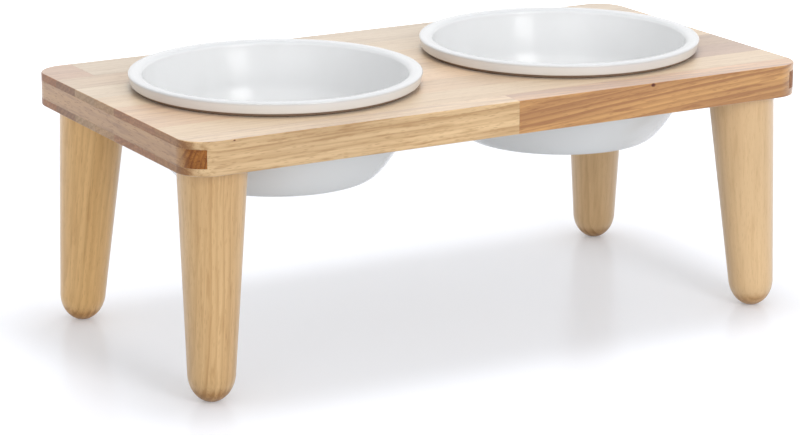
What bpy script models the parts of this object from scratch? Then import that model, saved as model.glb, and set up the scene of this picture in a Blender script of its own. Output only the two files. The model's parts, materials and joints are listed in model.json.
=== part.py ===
"""Raised pet feeder: a wooden board on four turned legs with two drop-in ceramic bowls.

Run in Blender's text editor, or with: blender --background --python part.py
Units are metres, +Z is up. The origin is on the floor, under the middle of the board,
with +X along the board's length.

The board is glued up from staves with their grain along X. A square key, with its grain
along Y, is let into a groove in each end to keep the board flat. Each leg is held by a
hanger bolt in a threaded insert. The bowls hang in two holes by their rims and lift out.
"""

import math

import bmesh
import bpy
from mathutils import Vector

MM = 0.001

# Board
BOARD_LENGTH = 400.0 * MM
BOARD_WIDTH = 207.0 * MM
BOARD_THICKNESS = 19.0 * MM
BOARD_TOP = 149.0 * MM
BOARD_CORNER_RADIUS = 17.5 * MM
BOARD_EDGE_RADIUS = 1.8 * MM

# Staves: how far the holes bite into the front and back ones, and where their ends meet
STAVES_ACROSS_HOLES = 5
HOLE_BITE_FRONT = 17.5 * MM
HOLE_BITE_BACK = 10.5 * MM
FRONT_JOINT_SHARE = 1.0 / 3.0
FRONT_BUTT_X = 2.5 * MM
BACK_BLOCK_LENGTH = 24.0 * MM

# Keys in the board's ends
KEY_SIZE = 10.0 * MM
KEY_DEPTH = 10.5 * MM

# Clearances
SEAT_GAP = 0.3 * MM
GLUE_LINE = 0.2 * MM
BOWL_PLAY = 0.6 * MM
BOLT_CLEARANCE = 0.3 * MM
POCKET_CLEARANCE = 0.3 * MM

# Holes for the bowls: the wood left at the board's ends and between the two holes
HOLE_END_WALL = 25.8 * MM
HOLE_BRIDGE = 32.4 * MM
HOLE_EDGE = 0.5 * MM

# Bowls
RIM_OVERHANG = 4.2 * MM
RIM_WIDTH = 7.0 * MM
RIM_HEIGHT = 8.5 * MM
RIM_LIFT = 1.6 * MM
RIM_BAND_FLARE = 1.0 * MM
RIM_INNER_ROUND = 2.0 * MM
RIM_OUTER_ROUND = 1.8 * MM
RIM_CROWN = 0.2 * MM
SEAT_RING_WIDTH = 1.2 * MM
WALL_STEP = 0.7 * MM
WALL_DRAFT = 2.2 * MM
WALL_ANGLE = math.radians(16.0)
WALL_THICKNESS = 4.4 * MM
BOWL_DEPTH = 51.2 * MM
BASE_RADIUS = 55.4 * MM
BASE_HEEL = 3.4 * MM
FLOOR_THICKNESS = 5.5 * MM
FLOOR_INSET = 12.4 * MM
FLOOR_SWEEP = 12.0 * MM
FOOT_RING_INSET = 5.9 * MM
FOOT_RING_WIDTH = 4.5 * MM
FOOT_RING_HEIGHT = 1.2 * MM
FOOT_RING_DRAFT = 0.6 * MM

# Legs
LEG_INSET_X = 26.2 * MM
LEG_INSET_Y = 27.1 * MM
LEG_SPLAY_X = 6.0 * MM
LEG_SPLAY_Y = 8.0 * MM
LEG_TOP_RADIUS = 19.3 * MM
LEG_FOOT_RADIUS = 13.3 * MM
LEG_DOME = 16.6 * MM
FOOT_FLAT_DEPTH = 0.3 * MM

# Leg fixings
BOLT_RADIUS = 3.9 * MM
BOLT_IN_LEG = 30.0 * MM
BOLT_TIP = 6.0 * MM
BOLT_TIP_RADIUS = 1.3 * MM
BOLT_CHAMFER = 0.6 * MM
INSERT_WALL = 1.8 * MM
INSERT_LENGTH = 12.0 * MM
INSERT_BEYOND_BOLT = 1.0 * MM

# Facets
BOWL_STEPS = 60
HOLE_STEPS = 72
LEG_STEPS = 24
BOLT_STEPS = 16
CORNER_STEPS = 7
EDGE_STEPS = 3
CUTTER_MARGIN = 5.0 * MM
MERGE = 0.01 * MM
SHARP_ANGLE = math.radians(35.0)

# What follows from the sizes above
BOARD_BOTTOM = BOARD_TOP - BOARD_THICKNESS
HOLE_RADIUS = (BOARD_LENGTH - 2.0 * HOLE_END_WALL - HOLE_BRIDGE) / 4.0
BOWL_SPACING = 2.0 * HOLE_RADIUS + HOLE_BRIDGE
LEG_X = BOARD_LENGTH / 2.0 - LEG_INSET_X
LEG_Y = BOARD_WIDTH / 2.0 - LEG_INSET_Y
RIM_RADIUS = HOLE_RADIUS + RIM_OVERHANG
SEAT_INNER_RADIUS = HOLE_RADIUS + HOLE_EDGE + SEAT_GAP
WALL_RADIUS = HOLE_RADIUS - BOWL_PLAY
BORE_RADIUS = BOLT_RADIUS + BOLT_CLEARANCE
INSERT_RADIUS = BORE_RADIUS + INSERT_WALL

# name: (base colour, roughness, metallic)
FINISHES = {
    "stave_tan": ((0.60, 0.41, 0.22), 0.42, 0.0),
    "stave_orange": ((0.54, 0.31, 0.13), 0.42, 0.0),
    "stave_pink": ((0.66, 0.44, 0.29), 0.42, 0.0),
    "stave_pale": ((0.74, 0.58, 0.42), 0.42, 0.0),
    "stave_mid": ((0.68, 0.50, 0.34), 0.42, 0.0),
    "end_key": ((0.40, 0.25, 0.14), 0.45, 0.0),
    "leg_wood": ((0.56, 0.38, 0.20), 0.40, 0.0),
    "white_glaze": ((0.84, 0.85, 0.87), 0.08, 0.0),
    "bolt_steel": ((0.55, 0.56, 0.58), 0.35, 1.0),
    "insert_zinc": ((0.62, 0.58, 0.48), 0.40, 1.0),
}


def new_collection(name):
    """Make a collection in the scene."""
    collection = bpy.data.collections.new(name)
    bpy.context.scene.collection.children.link(collection)
    return collection


def make_material(name):
    """Make the material of one finish."""
    color, roughness, metallic = FINISHES[name]
    material = bpy.data.materials.new(name)
    material.use_nodes = True
    shader = material.node_tree.nodes["Principled BSDF"]
    shader.inputs["Base Color"].default_value = (*color, 1.0)
    shader.inputs["Roughness"].default_value = roughness
    shader.inputs["Metallic"].default_value = metallic
    material.diffuse_color = (*color, 1.0)
    return material


def add_object(name, mesh, collection, location=(0.0, 0.0, 0.0), material=None):
    """Link a mesh as a named object."""
    obj = bpy.data.objects.new(name, mesh)
    collection.objects.link(obj)
    obj.location = location
    if material is not None:
        mesh.materials.append(material)
    return obj


def hide_cutter(obj):
    """Mark an object as a cutter that is only a guide."""
    obj.hide_render = True
    obj.display_type = "WIRE"
    return obj


def box_mesh(name, low, high):
    """A box between two corners, with its mesh centred on the object's origin."""
    size = [h - l for l, h in zip(low, high)]
    centre = [(h + l) / 2.0 for l, h in zip(low, high)]
    mesh = bpy.data.meshes.new(name)
    bm = bmesh.new()
    bmesh.ops.create_cube(bm, size=1.0)
    bmesh.ops.scale(bm, vec=size, verts=bm.verts)
    bm.to_mesh(mesh)
    bm.free()
    return mesh, centre


def boolean(obj, cutter, operation="DIFFERENCE"):
    """Add an exact Boolean to an object."""
    modifier = obj.modifiers.new(cutter.name, "BOOLEAN")
    modifier.operation = operation
    modifier.solver = "EXACT"
    modifier.object = cutter
    return modifier


def settle_round(obj):
    """Make a turned shape the object's own mesh, shaded smooth between its real edges."""
    depsgraph = bpy.context.evaluated_depsgraph_get()
    mesh = bpy.data.meshes.new_from_object(obj.evaluated_get(depsgraph))
    profile = obj.data
    obj.modifiers.clear()
    obj.data = mesh
    bpy.data.meshes.remove(profile)
    mesh.shade_smooth()
    mesh.set_sharp_from_angle(angle=SHARP_ANGLE)


def arc(centre_r, centre_z, radius, start, end, count, height=None):
    """Points of a turned profile on an arc, or on an ellipse of its own height.

    Angles are in degrees, from +X up to +Z.
    """
    rise = radius if height is None else height
    points = []
    for i in range(count + 1):
        angle = math.radians(start + (end - start) * i / count)
        points.append((centre_r + radius * math.cos(angle), centre_z + rise * math.sin(angle)))
    return points


def bezier(p0, p1, p2, p3, count):
    """Points of a turned profile on a cubic curve."""
    points = []
    for i in range(count + 1):
        t = i / count
        s = 1.0 - t
        weights = (s ** 3, 3.0 * s * s * t, 3.0 * s * t * t, t ** 3)
        r = sum(w * p[0] for w, p in zip(weights, (p0, p1, p2, p3)))
        z = sum(w * p[1] for w, p in zip(weights, (p0, p1, p2, p3)))
        points.append((r, z))
    return points


def turned(name, profile, steps, collection, location=(0.0, 0.0, 0.0), material=None, closed=False):
    """Turn a profile of (radius, height) points about the object's own Z axis.

    The profile runs down its outer side. A closed profile is a ring's section, and an
    open one starts and ends on the axis.
    """
    mesh = bpy.data.meshes.new(name)
    bm = bmesh.new()
    verts = [bm.verts.new((r, 0.0, z)) for r, z in profile]
    for a, b in zip(verts, verts[1:]):
        bm.edges.new((a, b))
    if closed:
        bm.edges.new((verts[-1], verts[0]))
    bm.to_mesh(mesh)
    bm.free()
    obj = add_object(name, mesh, collection, location, material)
    screw = obj.modifiers.new("turn", "SCREW")
    screw.axis = "Z"
    screw.angle = math.tau
    screw.steps = steps
    screw.render_steps = steps
    screw.use_smooth_shade = True
    screw.use_merge_vertices = True
    screw.merge_threshold = MERGE
    settle_round(obj)
    return obj


def make_blank(cutters):
    """The whole board's outline, with rounded corners and eased edges."""
    mesh, centre = box_mesh(
        "board_blank",
        (-BOARD_LENGTH / 2.0, -BOARD_WIDTH / 2.0, BOARD_BOTTOM),
        (BOARD_LENGTH / 2.0, BOARD_WIDTH / 2.0, BOARD_TOP),
    )
    blank = hide_cutter(add_object("board_blank", mesh, cutters, centre))
    weights = mesh.attributes.new("bevel_weight_edge", "FLOAT", "EDGE")
    for edge in mesh.edges:
        a, b = (mesh.vertices[i].co for i in edge.vertices)
        weights.data[edge.index].value = 1.0 if abs(a.z - b.z) > MM else 0.0
    corners = blank.modifiers.new("corners", "BEVEL")
    corners.limit_method = "WEIGHT"
    corners.width = BOARD_CORNER_RADIUS
    corners.segments = CORNER_STEPS
    edges = blank.modifiers.new("edges", "BEVEL")
    edges.limit_method = "ANGLE"
    edges.angle_limit = math.radians(60.0)
    edges.width = BOARD_EDGE_RADIUS
    edges.segments = EDGE_STEPS
    return blank


def make_cutters(cutters):
    """The bowl holes, the key grooves and the pockets of the threaded inserts."""
    found = {"hole": [], "groove": [], "pocket": []}
    reach = CUTTER_MARGIN
    for side, sign in (("left", -1.0), ("right", 1.0)):
        profile = [
            (0.0, BOARD_TOP + reach),
            (HOLE_RADIUS + HOLE_EDGE + reach, BOARD_TOP + reach),
            (HOLE_RADIUS, BOARD_TOP - HOLE_EDGE),
            (HOLE_RADIUS, BOARD_BOTTOM + HOLE_EDGE),
            (HOLE_RADIUS + HOLE_EDGE + reach, BOARD_BOTTOM - reach),
            (0.0, BOARD_BOTTOM - reach),
        ]
        place = (sign * BOWL_SPACING / 2.0, 0.0, 0.0)
        hole = turned("bowl_hole_" + side, profile, HOLE_STEPS, cutters, place)
        found["hole"].append((hide_cutter(hole), place[0], place[1], WALL_RADIUS))

        middle = (BOARD_TOP + BOARD_BOTTOM) / 2.0
        half = KEY_SIZE / 2.0 + GLUE_LINE
        inner = sign * (BOARD_LENGTH / 2.0 - KEY_DEPTH - GLUE_LINE)
        outer = sign * (BOARD_LENGTH / 2.0 + reach)
        mesh, centre = box_mesh(
            "key_groove_" + side,
            (min(inner, outer), -BOARD_WIDTH / 2.0 - reach, middle - half),
            (max(inner, outer), BOARD_WIDTH / 2.0 + reach, middle + half),
        )
        groove = hide_cutter(add_object("key_groove_" + side, mesh, cutters, centre))
        found["groove"].append((groove, sign))

        for row, y_sign in (("front", -1.0), ("back", 1.0)):
            name = "insert_pocket_" + row + "_" + side
            radius = INSERT_RADIUS + POCKET_CLEARANCE
            end = BOARD_BOTTOM + SEAT_GAP + INSERT_LENGTH + POCKET_CLEARANCE
            profile = [
                (0.0, end),
                (radius, end),
                (radius, BOARD_BOTTOM - reach),
                (0.0, BOARD_BOTTOM - reach),
            ]
            place = (sign * LEG_X, y_sign * LEG_Y, 0.0)
            pocket = turned(name, profile, BOLT_STEPS, cutters, place)
            found["pocket"].append((hide_cutter(pocket), place[0], place[1], INSERT_RADIUS))
    return found


def circle_meets_box(x, y, radius, low, high):
    """True where a circle in plan reaches into a box."""
    near_x = min(max(x, low[0]), high[0])
    near_y = min(max(y, low[1]), high[1])
    return math.hypot(x - near_x, y - near_y) < radius


def make_stave(name, x_span, y_span, material, parts, blank, cutters):
    """One stave of the board, trimmed to the outline and cut by what passes through it."""
    half_x = BOARD_LENGTH / 2.0
    half_y = BOARD_WIDTH / 2.0
    low = []
    high = []
    for span, half in ((x_span, half_x), (y_span, half_y)):
        start, end = span
        low.append(start - CUTTER_MARGIN if start <= -half else start + GLUE_LINE / 2.0)
        high.append(end + CUTTER_MARGIN if end >= half else end - GLUE_LINE / 2.0)
    low.append(BOARD_BOTTOM - CUTTER_MARGIN)
    high.append(BOARD_TOP + CUTTER_MARGIN)
    mesh, centre = box_mesh(name, low, high)
    stave = add_object(name, mesh, parts, centre, material)
    boolean(stave, blank, "INTERSECT")
    for hole, x, y, radius in cutters["hole"]:
        if circle_meets_box(x, y, radius, low, high):
            boolean(stave, hole)
    for groove, sign in cutters["groove"]:
        if (sign < 0.0 and x_span[0] <= -half_x) or (sign > 0.0 and x_span[1] >= half_x):
            boolean(stave, groove)
    for pocket, x, y, radius in cutters["pocket"]:
        if circle_meets_box(x, y, radius, low, high):
            boolean(stave, pocket)
    return stave


def make_board(parts, materials, blank, cutters):
    """All the staves, front to back, and the two end keys."""
    left = -BOARD_LENGTH / 2.0
    right = BOARD_LENGTH / 2.0
    hole_x = BOWL_SPACING / 2.0
    half_y = BOARD_WIDTH / 2.0
    front_joint = -HOLE_RADIUS - (half_y - HOLE_RADIUS) * FRONT_JOINT_SHARE
    across_front = -HOLE_RADIUS + HOLE_BITE_FRONT
    across_back = HOLE_RADIUS - HOLE_BITE_BACK
    width = (across_back - across_front) / STAVES_ACROSS_HOLES

    def stave(name, x_span, y_span, finish):
        make_stave(name, x_span, y_span, materials[finish], parts, blank, cutters)

    stave("stave_front_left", (left, FRONT_BUTT_X), (-half_y, front_joint), "stave_tan")
    stave("stave_front_right", (FRONT_BUTT_X, right), (-half_y, front_joint), "stave_orange")
    stave("stave_front_inner", (left, right), (front_joint, across_front), "stave_pale")
    finishes = (
        ("stave_mid", "stave_mid", "stave_pink"),
        ("stave_mid", "stave_tan", "stave_mid"),
        ("stave_pale", "stave_mid", "stave_pale"),
        ("stave_pale", "stave_pale", "stave_mid"),
        ("stave_mid", "stave_pale", "stave_pale"),
    )
    for i in range(STAVES_ACROSS_HOLES):
        span = (across_front + i * width, across_front + (i + 1) * width)
        tones = finishes[i % len(finishes)]
        number = str(i + 1)
        stave("stave_left_" + number, (left, -hole_x), span, tones[0])
        stave("stave_middle_" + number, (-hole_x, hole_x), span, tones[1])
        stave("stave_right_" + number, (hole_x, right), span, tones[2])
    back_joint = left + BACK_BLOCK_LENGTH
    stave("stave_back_left", (left, back_joint), (across_back, half_y), "stave_pink")
    stave("stave_back", (back_joint, right), (across_back, half_y), "stave_pale")

    middle = (BOARD_TOP + BOARD_BOTTOM) / 2.0
    half = KEY_SIZE / 2.0
    for side, sign in (("left", -1.0), ("right", 1.0)):
        inner = sign * (BOARD_LENGTH / 2.0 - KEY_DEPTH)
        outer = sign * (BOARD_LENGTH / 2.0 + CUTTER_MARGIN)
        mesh, centre = box_mesh(
            "end_key_" + side,
            (min(inner, outer), -BOARD_WIDTH / 2.0 - CUTTER_MARGIN, middle - half),
            (max(inner, outer), BOARD_WIDTH / 2.0 + CUTTER_MARGIN, middle + half),
        )
        key = add_object("end_key_" + side, mesh, parts, centre, materials["end_key"])
        boolean(key, blank, "INTERSECT")


def bowl_profile():
    """Section of a bowl, measured up from the board's top face."""
    base = -BOWL_DEPTH
    under = -BOARD_THICKNESS
    floor = base + FLOOR_THICKNESS
    wall_outer = WALL_RADIUS - WALL_DRAFT
    wall_inner = wall_outer - WALL_THICKNESS
    floor_radius = BASE_RADIUS - FLOOR_INSET
    sin_a = math.sin(WALL_ANGLE)
    cos_a = math.cos(WALL_ANGLE)

    # Inside: the floor, the turn up into the wall, and the wall up to the rim.
    turn = 0.62 * (under - floor)
    points = [(0.0, floor)]
    points += bezier(
        (floor_radius, floor),
        (floor_radius + FLOOR_SWEEP, floor),
        (wall_inner - turn * sin_a, under - turn * cos_a),
        (wall_inner, under),
        8,
    )
    # The rim: a softly crowned land between two rounded edges.
    top = RIM_HEIGHT - RIM_CROWN
    rim_inner = RIM_RADIUS - RIM_WIDTH
    points += arc(rim_inner + RIM_INNER_ROUND, top - RIM_INNER_ROUND, RIM_INNER_ROUND, 180, 90, 3)
    points.append((RIM_RADIUS - RIM_WIDTH / 2.0, RIM_HEIGHT))
    points += arc(RIM_RADIUS - RIM_OUTER_ROUND, top - RIM_OUTER_ROUND, RIM_OUTER_ROUND, 90, 0, 3)
    # Down the band, under the rim to the ring that sits on the board, and back to the wall.
    points.append((RIM_RADIUS - RIM_BAND_FLARE, RIM_LIFT))
    points.append((SEAT_INNER_RADIUS + SEAT_RING_WIDTH, SEAT_GAP))
    points.append((SEAT_INNER_RADIUS, SEAT_GAP))
    points.append((WALL_RADIUS, SEAT_GAP + WALL_STEP))
    # Outside: down through the hole and round the turn to the base.
    turn = 0.56 * (under - base)
    points += bezier(
        (wall_outer, under),
        (wall_outer - turn * sin_a, under - turn * cos_a),
        (BASE_RADIUS + BASE_HEEL, base),
        (BASE_RADIUS, base),
        8,
    )
    # The foot ring and the recess inside it.
    ring_outer = BASE_RADIUS - FOOT_RING_INSET
    ring_inner = ring_outer - FOOT_RING_WIDTH
    points.append((ring_outer + FOOT_RING_DRAFT, base))
    points.append((ring_outer, base - FOOT_RING_HEIGHT))
    points.append((ring_inner, base - FOOT_RING_HEIGHT))
    points.append((ring_inner - FOOT_RING_DRAFT, base))
    points.append((0.0, base))
    return points


def make_bowls(parts, materials):
    """Two bowls, each with its origin on its own axis at the board's top face."""
    profile = bowl_profile()
    for side, sign in (("left", -1.0), ("right", 1.0)):
        place = (sign * BOWL_SPACING / 2.0, 0.0, BOARD_TOP)
        turned("bowl_" + side, profile, BOWL_STEPS, parts, place, materials["white_glaze"])


def leg_profile(length):
    """Section of a leg, down from the pivot in the board's underside."""
    above = CUTTER_MARGIN
    slope = (LEG_TOP_RADIUS - LEG_FOOT_RADIUS) / length
    points = [(0.0, above), (LEG_TOP_RADIUS + slope * above, above)]
    points += arc(0.0, -length, LEG_FOOT_RADIUS, 0, -90, 7, LEG_DOME)
    points[-1] = (0.0, points[-1][1])
    return points


def make_legs(parts, materials, cutters):
    """Four legs that lean outwards, each with its bolt and its threaded insert."""
    seat = BOARD_BOTTOM - SEAT_GAP
    wide = BOARD_LENGTH
    mesh, centre = box_mesh("leg_trim_top", (-wide, -wide, seat), (wide, wide, BOARD_TOP))
    trim_top = hide_cutter(add_object("leg_trim_top", mesh, cutters, centre))
    mesh, centre = box_mesh("leg_trim_floor", (-wide, -wide, -LEG_DOME), (wide, wide, 0.0))
    trim_floor = hide_cutter(add_object("leg_trim_floor", mesh, cutters, centre))

    drop = BOARD_BOTTOM - LEG_DOME + FOOT_FLAT_DEPTH
    insert_low = BOARD_BOTTOM + SEAT_GAP
    insert_top = insert_low + INSERT_LENGTH
    bolt_top = insert_top - INSERT_BEYOND_BOLT
    bolt_end = BOARD_BOTTOM - BOLT_IN_LEG
    bolt_profile = [
        (0.0, bolt_top),
        (BOLT_RADIUS - BOLT_CHAMFER, bolt_top),
        (BOLT_RADIUS, bolt_top - BOLT_CHAMFER),
        (BOLT_RADIUS, bolt_end + BOLT_TIP),
        (BOLT_TIP_RADIUS, bolt_end),
        (0.0, bolt_end),
    ]
    bore_end = bolt_end - BOLT_CLEARANCE
    bore_profile = [
        (0.0, BOARD_TOP),
        (BORE_RADIUS, BOARD_TOP),
        (BORE_RADIUS, bore_end + BOLT_TIP),
        (BOLT_TIP_RADIUS + BOLT_CLEARANCE, bore_end),
        (0.0, bore_end),
    ]
    insert_profile = [
        (BORE_RADIUS, insert_top),
        (INSERT_RADIUS - BOLT_CHAMFER, insert_top),
        (INSERT_RADIUS, insert_top - BOLT_CHAMFER),
        (INSERT_RADIUS, insert_low),
        (BORE_RADIUS, insert_low),
    ]
    for row, y_sign in (("front", -1.0), ("back", 1.0)):
        for side, x_sign in (("left", -1.0), ("right", 1.0)):
            tag = row + "_" + side
            place = Vector((x_sign * LEG_X, y_sign * LEG_Y, BOARD_BOTTOM))
            run = Vector((x_sign * LEG_SPLAY_X, y_sign * LEG_SPLAY_Y, -drop))
            leg = turned("leg_" + tag, leg_profile(run.length), LEG_STEPS, parts, place,
                         materials["leg_wood"])
            turn = Vector((0.0, 0.0, -1.0)).rotation_difference(run.normalized())
            leg.rotation_euler = turn.to_euler()
            boolean(leg, trim_top)
            boolean(leg, trim_floor)
            axis = (place.x, place.y, 0.0)
            bore = turned("leg_bore_" + tag, bore_profile, BOLT_STEPS, cutters, axis)
            boolean(leg, hide_cutter(bore))
            turned("leg_bolt_" + tag, bolt_profile, BOLT_STEPS, parts, axis, materials["bolt_steel"])
            turned("leg_insert_" + tag, insert_profile, BOLT_STEPS, parts, axis,
                   materials["insert_zinc"], closed=True)


def main():
    for obj in list(bpy.data.objects):
        bpy.data.objects.remove(obj, do_unlink=True)
    parts = new_collection("pet_feeder")
    cutters = new_collection("cutters")
    materials = {name: make_material(name) for name in FINISHES}
    blank = make_blank(cutters)
    make_board(parts, materials, blank, make_cutters(cutters))
    make_bowls(parts, materials)
    make_legs(parts, materials, cutters)


main()
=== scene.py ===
"""Raised pet feeder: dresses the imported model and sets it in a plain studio.

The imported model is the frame. Each visible piece of it is made again here with fine
edges, round turnings and its finish, in the same place and at the same size.
"""

import json
import math

import bmesh
import bpy
from bpy.props import FloatProperty, FloatVectorProperty, IntProperty, PointerProperty
from mathutils import Euler, Matrix, Vector


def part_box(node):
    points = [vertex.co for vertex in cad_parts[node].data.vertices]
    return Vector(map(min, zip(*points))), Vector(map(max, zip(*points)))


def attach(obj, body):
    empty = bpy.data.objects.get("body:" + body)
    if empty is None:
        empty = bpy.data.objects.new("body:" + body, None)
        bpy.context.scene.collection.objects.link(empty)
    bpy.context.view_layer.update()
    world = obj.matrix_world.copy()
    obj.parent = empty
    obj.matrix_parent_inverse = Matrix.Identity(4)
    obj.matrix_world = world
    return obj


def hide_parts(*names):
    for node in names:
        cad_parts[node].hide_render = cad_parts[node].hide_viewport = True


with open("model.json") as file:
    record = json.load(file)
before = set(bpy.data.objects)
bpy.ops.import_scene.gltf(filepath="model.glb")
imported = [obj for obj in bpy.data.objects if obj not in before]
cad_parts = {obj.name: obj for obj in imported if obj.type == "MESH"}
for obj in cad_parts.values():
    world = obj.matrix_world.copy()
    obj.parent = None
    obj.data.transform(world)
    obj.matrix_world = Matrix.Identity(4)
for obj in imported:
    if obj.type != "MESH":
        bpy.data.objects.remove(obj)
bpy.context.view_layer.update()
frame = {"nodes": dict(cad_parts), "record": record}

bl_info = {
    "name": "Raised pet feeder",
    "version": (1, 0, 0),
    "blender": (4, 5, 0),
    "location": "View3D > Sidebar > Feeder",
    "description": "Makes a wooden feeder stand with two ceramic bowls, and its studio",
    "category": "Object",
}

MM = 0.001

SLOT_OF = {part["node"]: part["material_slot"] for part in frame["record"]["subparts"]}
STAVES = [node for node in SLOT_OF if node.startswith("stave_")]
KEYS = [node for node in SLOT_OF if node.startswith("end_key_")]
LEGS = ["leg_" + row + "_" + side for row in ("front", "back") for side in ("left", "right")]
BOWLS = ["bowl_left", "bowl_right"]
BOLTS = [node for node in SLOT_OF if node.startswith("leg_bolt_")]
INSERTS = [node for node in SLOT_OF if node.startswith("leg_insert_")]

STAVE_BOXES = {node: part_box(node) for node in STAVES}
BOARD_LOW = Vector(min(low[i] for low, high in STAVE_BOXES.values()) for i in range(3))
BOARD_HIGH = Vector(max(high[i] for low, high in STAVE_BOXES.values()) for i in range(3))

# What the solids leave between glued pieces and under a bowl's rim, and how far a
# blank stands past the faces that trim it
GLUE_LINE = 0.2 * MM
SEAT_GAP = 0.3 * MM
TRIM_REACH = 5.0 * MM

# Faces to each round of the board and its holes
BOARD_CORNER_STEPS = 16
BOARD_EDGE_STEPS = 8
HOLE_STEPS = 144
HOLE_EDGE_STEPS = 4

# The holes, and the bowls in them from the rim down to the foot ring
HOLE_RADIUS = 79.0 * MM
BOWL_PLAY = 0.6 * MM
RIM_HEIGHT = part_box("bowl_left")[1].z - BOARD_HIGH.z
RIM_WIDTH = 8.0 * MM
RIM_LIFT = 1.8 * MM
RIM_CROWN = 0.2 * MM
RIM_CREST_INSET = 0.35 * RIM_WIDTH
RIM_INNER_SQUASH = 0.68
RIM_BAND_FLARE = 1.0 * MM
RIM_BAND_ROUND = 1.1 * MM
SEAT_WIDTH = 0.7 * MM
WALL_DRAFT = 2.2 * MM
WALL_ANGLE = math.radians(16.0)
WALL_THICKNESS = 5.2 * MM
WALL_PULL_INSIDE = 0.62
WALL_PULL_OUTSIDE = 0.56
WALL_STEPS = 32
BOWL_DEPTH = 51.2 * MM
BASE_RADIUS = 55.4 * MM
BASE_HEEL = 3.4 * MM
FLOOR_THICKNESS = 5.5 * MM
FLOOR_INSET = 12.4 * MM
FLOOR_SWEEP = 12.0 * MM
FOOT_RING_INSET = 5.9 * MM
FOOT_RING_WIDTH = 4.5 * MM
FOOT_RING_HEIGHT = 1.2 * MM
FOOT_RING_ROUND = 0.5 * MM
BARE_FOOT_HEIGHT = 0.45 * MM
# Seat faces inside this radius, under the rim, take the dark clay painted as the gap's shade
GAP_SHADE_RADIUS = HOLE_RADIUS + 1.9 * MM

# The legs: where their tops stand in from the board's edges, and how far they splay
LEG_INSET_X = 26.2 * MM
LEG_INSET_Y = 27.1 * MM
LEG_SPLAY_X = 6.0 * MM
LEG_SPLAY_Y = 8.0 * MM
LEG_TOP_RADIUS = 19.3 * MM
LEG_FOOT_RADIUS = 13.3 * MM
LEG_DOME = 16.6 * MM
LEG_TAPER_STEPS = 12
LEG_DOME_STEPS = 20
FOOT_FLAT_DEPTH = 0.3 * MM

# Angles in radians, lens and sensor in millimetres
CAMERA_PLACE = (-0.85204, -1.44728, 0.52707)
CAMERA_YAW = 0.525
CAMERA_PITCH = -0.2729
CAMERA_ROLL = 0.0034
CAMERA_LENS = 133.204
CAMERA_SENSOR = 36.0
CAMERA_CLIP = (0.05, 60.0)

FEEDER_MIDDLE = (0.0, 0.0, 0.12)
FLOOR_HALF_WIDTH = 20.0
FLOOR_TINT = (0.955, 0.985, 1.06)
# How far out the seen floor starts to turn white, and where it is white
FLOOR_FADE = (0.42, 0.95)
# Width and height of each softbox, and where it hangs
SOFTBOXES = {
    "top": ((0.55, 0.45), (0.05, 0.05, 1.50)),
    "front": ((0.53, 0.78), (0.11, -1.52, 0.67)),
    "side": ((1.30, 1.30), (-1.60, -1.45, 0.70)),
    "back": ((5.00, 2.60), (1.30, 2.30, 1.85)),
}


class BoardSettings(bpy.types.PropertyGroup):
    """Sizes and wood colours of the board."""

    corner_radius: FloatProperty(
        name="Corner radius", description="Radius of the board's corners seen from above",
        default=0.0175, min=0.003, unit="LENGTH", precision=4)
    edge_round: FloatProperty(
        name="Edge round", description="Radius of the eased edges round the board",
        default=0.0007, min=0.0002, unit="LENGTH", precision=4)
    hole_round: FloatProperty(
        name="Hole edge round", description="Radius of the eased edges of the bowl holes",
        default=0.0006, min=0.0001, unit="LENGTH", precision=4)
    hairline: FloatProperty(
        name="Joint hairline", description="Width of the fine line between two glued staves",
        default=0.00005, min=0.0, unit="LENGTH", precision=5)
    tan_wood: FloatVectorProperty(
        name="Tan wood", description="Light tone of the yellowish tan staves",
        default=(0.735, 0.500, 0.260), subtype="COLOR", min=0.0, max=1.0)
    orange_wood: FloatVectorProperty(
        name="Orange wood", description="Light tone of the orange brown staves",
        default=(0.590, 0.302, 0.092), subtype="COLOR", min=0.0, max=1.0)
    pink_wood: FloatVectorProperty(
        name="Pink wood", description="Light tone of the pinkish staves",
        default=(0.600, 0.380, 0.215), subtype="COLOR", min=0.0, max=1.0)
    pale_wood: FloatVectorProperty(
        name="Pale wood", description="Light tone of the palest staves",
        default=(0.640, 0.450, 0.250), subtype="COLOR", min=0.0, max=1.0)
    mid_wood: FloatVectorProperty(
        name="Mid wood", description="Light tone of the plain staves",
        default=(0.615, 0.405, 0.210), subtype="COLOR", min=0.0, max=1.0)
    key_wood: FloatVectorProperty(
        name="Key wood", description="Light tone of the keys in the board's ends",
        default=(0.500, 0.250, 0.070), subtype="COLOR", min=0.0, max=1.0)


class LegSettings(bpy.types.PropertyGroup):
    """Sizes and wood colour of the legs."""

    steps: IntProperty(
        name="Steps", description="Faces round each leg", default=96, min=24, max=256)
    leg_wood: FloatVectorProperty(
        name="Leg wood", description="Light tone of the legs",
        default=(0.715, 0.475, 0.230), subtype="COLOR", min=0.0, max=1.0)
    dark_wood: FloatVectorProperty(
        name="Leg grain", description="Dark tone of the grain in the legs",
        default=(0.500, 0.290, 0.110), subtype="COLOR", min=0.0, max=1.0)


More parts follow.
